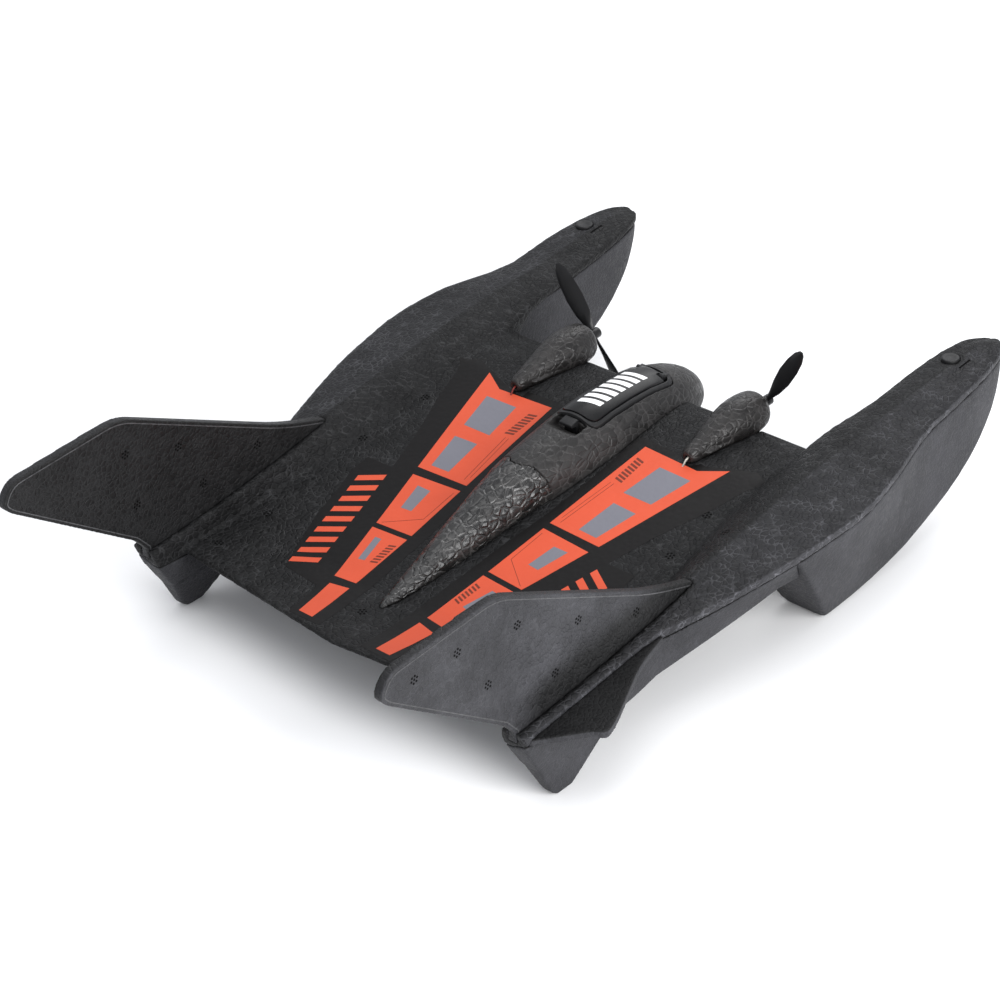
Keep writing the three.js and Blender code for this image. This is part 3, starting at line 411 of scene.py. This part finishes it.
# Paler foam for the painted highlight along each fin's moulded groove.
FOAM_HIGHLIGHT_LINE = (0.05, 0.05, 0.052)
LOOKS = {
    "deck_foam": foam_material("deck_foam", FOAM_SHADED_TONE, 2.2, 0.34, rough=(0.45, 0.66), specular=0.14, rim=4.0,
                               second=FOAM_LIT_TONE, second_share=lit_outer_edge),
    "hull_foam": foam_material("hull_foam", FOAM_LIT_TONE, 2.0, 0.2, rough=(0.5, 0.68), specular=0.18, rim=1.5,
                               mottle=0.14, stretch=(1, 1, 1), second=FOAM_SHADED_TONE, second_share=shaded_tops),
    "fin_foam": foam_material("fin_foam", FOAM_LIT_TONE, 2.3, 0.26, rough=(0.46, 0.62), specular=0.2, rim=1.6,
                              mottle=0.14, stretch=(1, 1, 1), second=FOAM_SHADED_TONE, second_share=fin_shadow),
    "pod_foam": foam_material("pod_foam", FOAM_POD, 3.0, 0.2, rough=(0.36, 0.56), specular=0.28, rim=2.5),
    "cone_foam": foam_material("cone_foam", FOAM_CONE, 3.6, 0.4, rough=(0.18, 0.32), specular=0.5, rim=6.0,
                               mottle=0.35),
    "nacelle_foam": foam_material("nacelle_foam", FOAM_NACELLE, 2.8, 0.2, rough=(0.3, 0.48), specular=0.32,
                                  rim=3.0),
    "painted_edge_highlight": foam_material("painted_edge_highlight", FOAM_HIGHLIGHT_LINE, 1.2, 0.05, rough=(0.35, 0.5), specular=0.3, rim=1.5),
    "orange_film": film_material("orange_film", (0.55, 0.08, 0.037)),
    "grey_film": film_material("grey_film", (0.155, 0.155, 0.178)),
    "black_film": film_material("black_film", (0.0048, 0.0042, 0.0042)),
    "tick_film": film_material("tick_film", (0.14, 0.03, 0.018)),
    "white_print": film_material("white_print", (0.83, 0.83, 0.83), 0.4),
    "gloss_cover": moulded_material("gloss_cover", (0.004, 0.004, 0.0044), 0.3, grain_mm=0.4,
                                    grain_depth=0.006, specular=0.25),
    "black_plastic": moulded_material("black_plastic", (0.008, 0.008, 0.0086), 0.48),
    "propeller_plastic": moulded_material("propeller_plastic", (0.006, 0.006, 0.0065), 0.36, grain_mm=0.5,
                                          grain_depth=0.015),
    "white_plastic": moulded_material("white_plastic", (0.68, 0.66, 0.6), 0.45),
    "red_wire": moulded_material("red_wire", (0.16, 0.018, 0.014), 0.42),
    "pale_wire": moulded_material("pale_wire", (0.5, 0.48, 0.43), 0.45),
    # Painted shade: near-black discs and strips that stand for the dark insides of vent holes and slots.
    "vent_hole_shade": moulded_material("vent_hole_shade", (0.0015, 0.0015, 0.0015), 0.8, specular=0.05),
    "steel": metal_material("steel", (0.55, 0.55, 0.56), 0.3),
    "carbon_strip": carbon_material(),
    "cell_wrap": wrap_material(),
    "circuit_board": board_material(),
    "red_lens": lens_material(),
}


# ---------------------------------------------------------------- mesh helpers
DOWN = Vector((0, 0, -1))
# A height, in metres, from which a search downwards starts.
ABOVE_ALL = 0.3
# Edges that bend by less than this many degrees stay as they are when a piece is bevelled.
BEVEL_FROM_ANGLE = 32


def object_from(name, bm):
    """A new object that takes over a bmesh."""
    mesh = bpy.data.meshes.new(name)
    bm.normal_update()
    bm.to_mesh(mesh)
    bm.free()
    piece = bpy.data.objects.new(name, mesh)
    scene.collection.objects.link(piece)
    return piece


def bake(piece):
    """Applies the modifiers of a piece to its mesh."""
    evaluated = piece.evaluated_get(bpy.context.evaluated_depsgraph_get())
    mesh = bpy.data.meshes.new_from_object(evaluated)
    piece.modifiers.clear()
    piece.data = mesh
    return piece


def modify(piece, kind, **settings):
    modifier = piece.modifiers.new(kind.lower(), kind)
    for key, value in settings.items():
        setattr(modifier, key, value)


def dress(piece, look, body="airframe", replaces=(), smooth_angle=180):
    """Gives a piece its look, its body, the nodes it stands for and its sharp edges."""
    piece.data.materials.clear()
    piece.data.materials.append(LOOKS[look])
    piece.data.shade_smooth()
    if smooth_angle < 180:
        piece.data.set_sharp_from_angle(angle=math.radians(smooth_angle))
    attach(piece, body)
    if replaces:
        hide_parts(*replaces)
    return piece


def cad_bmesh(*nodes):
    """The meshes of some CAD nodes in one, with doubled vertices joined."""
    bm = bmesh.new()
    for node in nodes:
        bm.from_mesh(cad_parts[node].data)
    bmesh.ops.remove_doubles(bm, verts=bm.verts, dist=0.002 * MM)
    return bm


def surface_tree(piece):
    """A search tree over the finished mesh of a piece."""
    bm = bmesh.new()
    bm.from_mesh(piece.data)
    tree = BVHTree.FromBMesh(bm)
    bm.free()
    return tree


def height_finder(piece):
    """A function that finds the height of a piece's upper surface at a place in plan, in metres."""
    tree = surface_tree(piece)

    def height(x, y):
        return tree.ray_cast(Vector((x, y, ABOVE_ALL)), DOWN)[0].z

    return height


def foam_copy(nodes, name, voxel_mm, rounds, keep=1.0):
    """The shape of one node, or of several glued ones, as foam: no facets, edges rounded by about a voxel.

    It is smoothed for some rounds, and a share of its triangles is kept.
    """
    piece = object_from(name, cad_bmesh(*nodes))
    modify(piece, "REMESH", mode="VOXEL", voxel_size=voxel_mm * MM)
    modify(piece, "SMOOTH", factor=0.5, iterations=rounds)
    if keep < 1:
        modify(piece, "DECIMATE", ratio=keep)
    return bake(piece)


def crisp_copy(node, name, bevel_mm, segments=2, flat_angle=2.0):
    """The node's shape as moulded plastic or metal: clean faces and a small radius on each edge."""
    bm = cad_bmesh(node)
    bmesh.ops.dissolve_limit(bm, angle_limit=math.radians(flat_angle), verts=bm.verts, edges=bm.edges)
    piece = object_from(name, bm)
    modify(piece, "BEVEL", width=bevel_mm * MM, segments=segments, limit_method="ANGLE",
           angle_limit=math.radians(BEVEL_FROM_ANGLE), harden_normals=False)
    return bake(piece)


def make_crisp(node, name, look, bevel_mm, body="airframe", segments=2, flat_angle=2.0, smooth_angle=35):
    """A node's crisp copy, in a look whose material slot has the same name."""
    piece = crisp_copy(node, name, bevel_mm, segments, flat_angle)
    return dress(piece, look, body, [node], smooth_angle)


def displace(piece, height):
    """Moves each vertex along its normal by height(position, normal), in metres."""
    vertices = piece.data.vertices
    rest = [(vertex.co.copy(), vertex.normal.copy()) for vertex in vertices]
    for vertex, (place, normal) in zip(vertices, rest):
        vertex.co = place + normal * height(place, normal)
    piece.data.update()


BEAD_WANDER = 0.35


def bead_height(place, size_mm, depth_mm, stretch=(1, 0.7, 1)):
    """The crown of a bead at a place: high in its middle, pinched where beads meet."""
    wander = noise.noise_vector(place * (MM_IN_METRE / 4 / size_mm)) * BEAD_WANDER
    spot = Vector([place[i] * MM_IN_METRE * stretch[i] / size_mm for i in range(3)]) + wander
    near, second = noise.voronoi(spot)[0][:2]
    return depth_mm * MM * (min(1.0, (second - near) * 2.6) - 0.55)


# ---------------------------------------------------------------- foam
FOAM_SWELL = 0.16 * MM
# The pale line on a fin's faces, a painted highlight that stands for the moulded groove there: how far it
# lies inside the edge and how far it stands proud.
LINE_INSET = 1.4 * MM
LINE_WIDTH = 0.45 * MM
LINE_PROUD = 0.04 * MM
LINE_THICKNESS = 0.12 * MM
# For each hull moulding, whose sides take the paler tone of painted light: its nodes on one side, the voxel
# in millimetres, smoothing rounds, triangles kept.
HULL_MOULDINGS = (
    (["float"], 1.1, 4, 0.4),
    (["beam", "lower_fin"], 0.7, 7, 0.5),
    (["stabiliser"], 0.55, 4, 0.8),
)


def face_outline(node):
    """The outline of a flat fin's side face in the Y-Z plane, as an ordered loop of points."""
    bm = cad_bmesh(node)
    reach = max(vertex.co.x for vertex in bm.verts)
    on_face = {vertex for vertex in bm.verts if reach - vertex.co.x < 0.01 * MM}
    rim = [
        edge for edge in bm.edges
        if set(edge.verts) <= on_face and any(not set(face.verts) <= on_face for face in edge.link_faces)
    ]
    follows = {
        vertex: [edge.other_vert(vertex) for edge in rim if vertex in edge.verts]
        for vertex in on_face
    }
    start = here = rim[0].verts[0]
    before = None
    loop = []
    while here is not start or before is None:
        loop.append((here.co.y, here.co.z))
        here, before = next(v for v in follows[here] if v is not before), here
    bm.free()
    return [Vector(point) for point in loop]


def inset_loop(loop, inset):
    """The loop moved inwards, each corner along the line that halves it."""
    area = sum(a.x * b.y - b.x * a.y for a, b in zip(loop, loop[1:] + loop[:1]))
    turn = 1 if area > 0 else -1
    moved = []
    for before, here, after in zip(loop[-1:] + loop[:-1], loop, loop[1:] + loop[:1]):
        normals = [Vector((-step.y, step.x)).normalized() * turn for step in (here - before, after - here)]
        middle = (normals[0] + normals[1]).normalized()
        moved.append(here + middle * inset / max(middle.dot(normals[0]), 0.5))
    return moved


def make_fin_line(side):
    """A pale strip just inside a fin's edge, on both faces: a painted highlight that stands for the moulded
    groove there.
    """
    node = f"fin_{side}"
    loop = face_outline(node)
    outer = inset_loop(loop, LINE_INSET)
    inner = inset_loop(loop, LINE_INSET + LINE_WIDTH)
    low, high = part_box(node)
    bm = bmesh.new()
    for x in (low.x - LINE_PROUD, high.x + LINE_PROUD):
        rows = [[bm.verts.new((x, point.x, point.y)) for point in ring] for ring in (outer, inner)]
        for i, after in enumerate(list(range(1, len(loop))) + [0]):
            bm.faces.new((rows[0][i], rows[0][after], rows[1][after], rows[1][i]))
    line = object_from(f"fin_line_{side}", bm)
    modify(line, "SOLIDIFY", thickness=LINE_THICKNESS, offset=0)
    dress(bake(line), "painted_edge_highlight", smooth_angle=30)


def make_fins():
    for side in SIDES:
        piece = foam_copy([f"fin_{side}"], f"fin_foam_{side}", 0.6, 2, 0.7)
        dress(piece, "fin_foam", replaces=[f"fin_{side}"])
        make_fin_line(side)


def swell(place, normal):
    """Closes the joints between glued mouldings, which smoothing opens, but never sinks into the ground."""
    return FOAM_SWELL if place.z > 2 * FOAM_SWELL else 0.0


def make_foam():
    """The wing's glued foam mouldings. Returns the one with the deck and the plate."""
    shell = foam_copy(["wing_shell"], "wing_shell_foam", 0.9, 3, 0.5)
    displace(shell, swell)
    dress(shell, "deck_foam", replaces=["wing_shell"])
    for side in SIDES:
        for moulding, voxel_mm, rounds, keep in HULL_MOULDINGS:
            nodes = [f"{node}_{side}" for node in moulding]
            piece = foam_copy(nodes, f"{nodes[0]}_foam", voxel_mm, rounds, keep)
            displace(piece, swell)
            dress(piece, "hull_foam", replaces=nodes)
    make_fins()
    return shell


def make_pod():
    """The pod's two foam mouldings and the nacelles, with raised beads."""
    front = foam_copy(["pod_front"], "pod_front_foam", 0.5, 6, 0.6)
    displace(front, lambda place, normal: bead_height(place, 3.4, 0.04))
    dress(front, "pod_foam", replaces=["pod_front"])
    cone = foam_copy(["pod_tail"], "pod_tail_foam", 0.45, 8)
    displace(cone, lambda place, normal: bead_height(place, 3.6, 0.22))
    dress(cone, "cone_foam", replaces=["pod_tail"])
    for side in SIDES:
        nacelle = foam_copy([f"nacelle_{side}"], f"nacelle_foam_{side}", 0.45, 6, 0.8)
        displace(nacelle, lambda place, normal: bead_height(place, 3.0, 0.07))
        dress(nacelle, "nacelle_foam", replaces=[f"nacelle_{side}"])


# ---------------------------------------------------------------- vent marks
# Rings of steam-vent marks in the mould: where they sit in plan on the deck, and in side view on each fin.
DECK_VENTS = [
    (87.8, 71.6), (89.7, 99.8), (88.1, 10.5), (83.1, -25.6), (-78.6, -26.6),
    (-81.3, 1.7), (-97.1, -15.2), (-87.8, 71.6), (-89.7, 99.8), (4.4, 99.3),
]
FIN_VENTS_OUTSIDE = [
    (125.6, 90.3), (90.4, 73.7), (55.1, 58.6), (104.8, 56.4), (143.2, 72.2), (182.5, 96.6), (159.1, 95.8),
]
FIN_VENTS_INSIDE = [(135.1, 91.1), (106, 81.2), (61.2, 60.8), (94.3, 57.4), (131.9, 64.8)]
# The radius of a ring, the radius of each hole, the holes in a ring, and how a disc lies on the foam.
VENT_RING = 1.6 * MM
VENT_HOLE = 0.52 * MM
VENT_HOLES = 6
VENT_PROUD = 0.06 * MM
VENT_THICKNESS = 0.1 * MM
# Where the search for a fin's face starts: beyond the wing, or between the two fins.
BEYOND_WING = 0.2
BETWEEN_FINS = 0.06


def add_vent(bm, tree, start, towards):
    """One mark: a centre hole and a ring of holes, each a disc of painted shade that lies just proud of the
    surface.
    """
    side = towards.orthogonal().normalized()
    up = towards.cross(side)
    offsets = [Vector()] + [
        (side * math.cos(turn) + up * math.sin(turn)) * VENT_RING
        for turn in np.linspace(0, 2 * math.pi, VENT_HOLES, endpoint=False)
    ]
    for offset in offsets:
        place, normal = tree.ray_cast(start + offset, towards)[:2]
        disc = bmesh.ops.create_circle(bm, cap_ends=True, segments=8, radius=VENT_HOLE)
        tilt = Vector((0, 0, 1)).rotation_difference(normal)
        bmesh.ops.rotate(bm, verts=disc["verts"], matrix=tilt.to_matrix())
        bmesh.ops.translate(bm, verts=disc["verts"], vec=place + normal * VENT_PROUD)


def make_vents(shell):
    """All the vent marks, on the deck and on both faces of each fin."""
    bm = bmesh.new()
    deck = surface_tree(shell)
    for x, y in DECK_VENTS:
        add_vent(bm, deck, Vector((x * MM, y * MM, ABOVE_ALL)), DOWN)
    for side, sign in SIDES.items():
        fin = surface_tree(bpy.data.objects[f"fin_foam_{side}"])
        outward_x = Vector((sign, 0, 0))
        for y, z in FIN_VENTS_OUTSIDE:
            add_vent(bm, fin, Vector((sign * BEYOND_WING, y * MM, z * MM)), -outward_x)
        for y, z in FIN_VENTS_INSIDE:
            add_vent(bm, fin, Vector((sign * BETWEEN_FINS, y * MM, z * MM)), outward_x)
    vents = object_from("vent_marks", bm)
    modify(vents, "SOLIDIFY", thickness=VENT_THICKNESS, offset=-1)
    dress(bake(vents), "vent_hole_shade", smooth_angle=30)


# ---------------------------------------------------------------- film on the plate
def draped(name, outlines, surface, lift_mm, thick_mm=0.1, step_mm=4.0):
    """Thin film cut to plan outlines in millimetres and laid just above a surface: height = surface(x, y)."""
    bm = bmesh.new()
    for outline in outlines:
        bm.faces.new([bm.verts.new((x * MM, y * MM, 0)) for x, y in outline])
    low = np.min([np.min(o, axis=0) for o in outlines], axis=0)
    high = np.max([np.max(o, axis=0) for o in outlines], axis=0)
    for axis, normal in ((1, (0, 1, 0)), (0, (1, 0, 0))):
        first = math.floor(low[axis] / step_mm) * step_mm + step_mm
        for cut in np.arange(first, high[axis], step_mm):
            whole = bm.verts[:] + bm.edges[:] + bm.faces[:]
            bmesh.ops.bisect_plane(bm, geom=whole, plane_co=Vector(normal) * cut * MM, plane_no=normal)
    for vertex in bm.verts:
        vertex.co.z = surface(vertex.co.x, vertex.co.y) + lift_mm * MM
    bmesh.ops.recalc_face_normals(bm, faces=bm.faces)
    if sum(face.normal.z for face in bm.faces) < 0:
        bmesh.ops.reverse_faces(bm, faces=bm.faces)
    piece = object_from(name, bm)
    modify(piece, "SOLIDIFY", thickness=thick_mm * MM, offset=-1)
    return bake(piece)


def flipped(outlines, side):
    """Outlines for the left side, taken to the side that is asked for."""
    return [[(x * SIDES[side], y) for x, y in outline] for outline in outlines]


# The left half of the printed film, in plan. The right half mirrors it.
PANELS = [
    [(69.2, -54.2), (56.9, -47.1), (27, -48.6), (24, 12.2), (52, 13.2)],
    [(50.4, 18.1), (23.9, 16.3), (22.1, 49.9), (41.7, 51.1)],
    [(41.2, 54.1), (21.9, 52.9), (20.5, 86.3), (31.9, 87.6)],
    [(29.8, 92.6), (20.2, 90.6), (18.3, 114.9), (26, 114.9)],
]
WINDOWS = [
    [(58.6, -40.4), (41.4, -40.8), (38.6, -19.4), (53.8, -19.4)],
    [(52, -11.4), (39.3, -12), (37.5, 9), (47.4, 9.4)],
    [(43.1, 22.9), (35.6, 23), (33.7, 37.5), (39.4, 38)],
    [(35.3, 58.6), (31.9, 58.4), (28.2, 72.8), (31.4, 73.6)],
]
BACKING = [
    (20.5, -52), (27, -53), (58, -51.5), (80, -60), (88, -55), (83, -47), (79, -32), (73, -16), (68, -2),
    (62, 19.3), (76.7, 19.3), (77, 29), (73.3, 42), (68.8, 60), (61.5, 79), (54, 95), (33, 97), (29, 118),
    (12, 117.5), (13, 86), (15.5, 40), (19, 8), (20.5, -20),
]
# How far above the foam each layer of film lies, and how thick it is.
BACKING_LIFT_MM = 0.08
PANEL_LIFT_MM = 0.14
PRINT_LIFT_MM = 0.18
FILM_MM = 0.08


def bars(start, end, count, length, thick, lean=0.0):
    """Short bars of one length laid across a line, evenly spaced, each leaning along it."""
    start, end = Vector(start), Vector(end)
    along = (end - start).normalized()
    across = Vector((along.y, -along.x))
    outlines = []
    for i in range(count):
        middle = start.lerp(end, (i + 0.5) / count)
        outlines.append([
            tuple(middle + across * (a * length / 2) + along * (b * thick / 2 + a * lean / 2))
            for a, b in ((-1, -1), (1, -1), (1, 1), (-1, 1))
        ])
    return outlines


def line_between(points, width):
    """Thin printed lines along a chain of points."""
    return [bars(a, b, 1, width, (Vector(b) - Vector(a)).length)[0] for a, b in zip(points, points[1:])]


def make_film():
    """The printed film on both halves of the plate, which swells as the foam under it does."""
    cad_height = height_finder(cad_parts["wing_shell"])

    def plate(x, y):
        return cad_height(x, y) + FOAM_SWELL

    front_ticks = bars((31, -41), (31.5, -24), 8, 4.4, 1.25, 1.2)
    rear_ticks = bars((24.6, 58.5), (23.8, 72.5), 7, 3.4, 1.05, 1)
    lines = line_between([(31.2, -22), (27.8, 9.6)], 0.22)
    lines += line_between([(29.4, -22), (26.3, 7)], 0.18)
    lines += line_between([(25.6, 19), (25.2, 38.8), (39.8, 49.6)], 0.22)
    stripes = bars((66.5, 26), (49.5, 90), 9, 12.5, 3.6, 3.6)
    for side in SIDES:
        for name, outlines, lift_mm, look, slot in (
            ("black_film", [BACKING], BACKING_LIFT_MM, "black_film", "black_film"),
            ("orange_film", PANELS, PANEL_LIFT_MM, "orange_film", "orange_film"),
            ("stripe_film", stripes, PANEL_LIFT_MM, "orange_film", "orange_film"),
            ("grey_film", WINDOWS, PRINT_LIFT_MM, "grey_film", "grey_film"),
            ("tick_film", front_ticks + rear_ticks + lines, PRINT_LIFT_MM, "tick_film", "black_film"),
        ):
            piece = draped(f"{name}_{side}", flipped(outlines, side), plate, lift_mm, FILM_MM)
            dress(piece, look, smooth_angle=40)


# ---------------------------------------------------------------- hatch
HATCH_BARS = 7
HATCH_BAR_MM = (11, 3.1)
HATCH_BAR_LEAN_MM = 2.6
# How far the row of bars runs ahead of the cover's middle, and behind it.
HATCH_ROW_MM = (16, 19)
HATCH_PRINT_LIFT_MM = 0.1


def make_hatch():
    """The hatch cover with its white bars, the frame round it, the latch and the hinge pin."""
    cover = make_crisp("hatch", "hatch_cover", "gloss_cover", 0.5, "hatch", segments=3, flat_angle=0.5)
    make_crisp("hatch_frame", "hatch_rim", "black_plastic", 0.25, flat_angle=0.5)
    make_crisp("hatch_latch", "latch_tab", "black_plastic", 0.25, "latch")
    make_crisp("hinge_pin", "hinge_pin_steel", "steel", 0.1)
    low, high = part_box("hatch")
    middle = (low.y + high.y) / 2 / MM
    ahead, behind = HATCH_ROW_MM
    length, thick = HATCH_BAR_MM
    row = bars((0, middle - ahead), (0, middle + behind), HATCH_BARS, length, thick, HATCH_BAR_LEAN_MM)
    mark = draped("hatch_mark", row, height_finder(cover), HATCH_PRINT_LIFT_MM, FILM_MM, 1.0)
    dress(mark, "white_print", "hatch", smooth_angle=40)


# ---------------------------------------------------------------- bow plugs
# The sunk middle of a plug's top: the width of the rim round it, and its depth.
PLUG_RIM_MM = 1.3
PLUG_SINK_MM = 0.5
# The slot beside a plug, drawn as a strip of painted shade: how far it is from the plug, its width and
# length, and its lift off the foam.
SLOT_GAP_MM = 3.4
SLOT_MM = (0.8, 8.4)
SLOT_LIFT_MM = 0.06


def sink_top(piece, rim_mm, depth_mm):
    """Sinks the middle of a piece's flat top and leaves a rim."""
    bm = bmesh.new()
    bm.from_mesh(piece.data)
    top = max((face for face in bm.faces if face.normal.z > 0.99), key=lambda face: face.calc_area())
    bmesh.ops.inset_region(bm, faces=[top], thickness=rim_mm * MM, depth=-depth_mm * MM)
    bm.to_mesh(piece.data)
    bm.free()


def make_bow_plugs(shell):
    """A plug in each bow deck, with a strip of painted shade for the slot in the foam on its right."""
    deck_height = height_finder(shell)
    width, length = SLOT_MM
    for side in SIDES:
        node = f"bow_plug_{side}"
        plug = crisp_copy(node, f"bow_plug_cap_{side}", 0.5, 3)
        sink_top(plug, PLUG_RIM_MM, PLUG_SINK_MM)
        dress(plug, "black_plastic", "airframe", [node], 35)
        low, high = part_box(node)
        x = low.x / MM - SLOT_GAP_MM
        y = (low.y + high.y) / 2 / MM
        outline = bars((x, y - length / 2), (x, y + length / 2), 1, width, length)
        slot = draped(f"bow_slot_{side}", outline, deck_height, SLOT_LIFT_MM, step_mm=1.0)
        dress(slot, "vent_hole_shade", smooth_angle=30)


# ---------------------------------------------------------------- power train and small parts
# How much is taken off the motor leads all round.
LEAD_THINNING = 0.38 * MM
# Parts inside the pod and under it: node, look and bevel in millimetres.
INNER_PARTS = [
    ("battery", "cell_wrap", 0.5),
    ("battery_plug", "white_plastic", 0.3),
    ("battery_leads", "red_wire", 0.02),
    ("receiver_board", "circuit_board", 0.1),
    ("radio_module", "steel", 0.2),
    ("motor_driver", "black_plastic", 0.1),
    ("status_light", "red_lens", 0.2),
    ("power_socket", "white_plastic", 0.2),
    ("belly_cover", "black_plastic", 0.25),
    ("spar_strip", "carbon_strip", 0.1),
    ("switch_body", "black_plastic", 0.2),
] + [(f"cover_screw_{number}", "steel", 0.1) for number in (1, 2, 3, 4)]


def make_motor_shaft(side):
    """One motor's shaft and the propeller on it."""
    turning = f"propeller_{side}"
    make_crisp(f"motor_shaft_{side}", f"motor_shaft_steel_{side}", "steel", 0.15, turning)
    make_crisp(turning, f"propeller_blades_{side}", "propeller_plastic", 0.15, turning, flat_angle=0.5,
               smooth_angle=40)


def make_motor_leads(side):
    """One motor's leads, drawn thinner than in the CAD: red on the left, pale on the right."""
    lead = crisp_copy(f"motor_leads_{side}", f"motor_leads_pair_{side}", 0.02, 1)
    displace(lead, lambda place, normal: -LEAD_THINNING)
    look = "red_wire" if side == "left" else "pale_wire"
    dress(lead, look, replaces=[f"motor_leads_{side}"], smooth_angle=60)


def make_small_parts():
    for side in SIDES:
        make_crisp(f"motor_sleeve_{side}", f"motor_sleeve_part_{side}", "black_plastic", 0.3)
        make_crisp(f"motor_{side}", f"motor_part_{side}", "steel", 0.4)
        make_motor_shaft(side)
        make_motor_leads(side)
    for node, look, bevel_mm in INNER_PARTS:
        make_crisp(node, f"{node}_part", look, bevel_mm)
    make_crisp("switch_slider", "switch_slider_part", "black_plastic", 0.25, "switch")


make_camera()
make_studio()
wing_shell = make_foam()
make_vents(wing_shell)
make_bow_plugs(wing_shell)
make_pod()
make_film()
make_hatch()
make_small_parts()
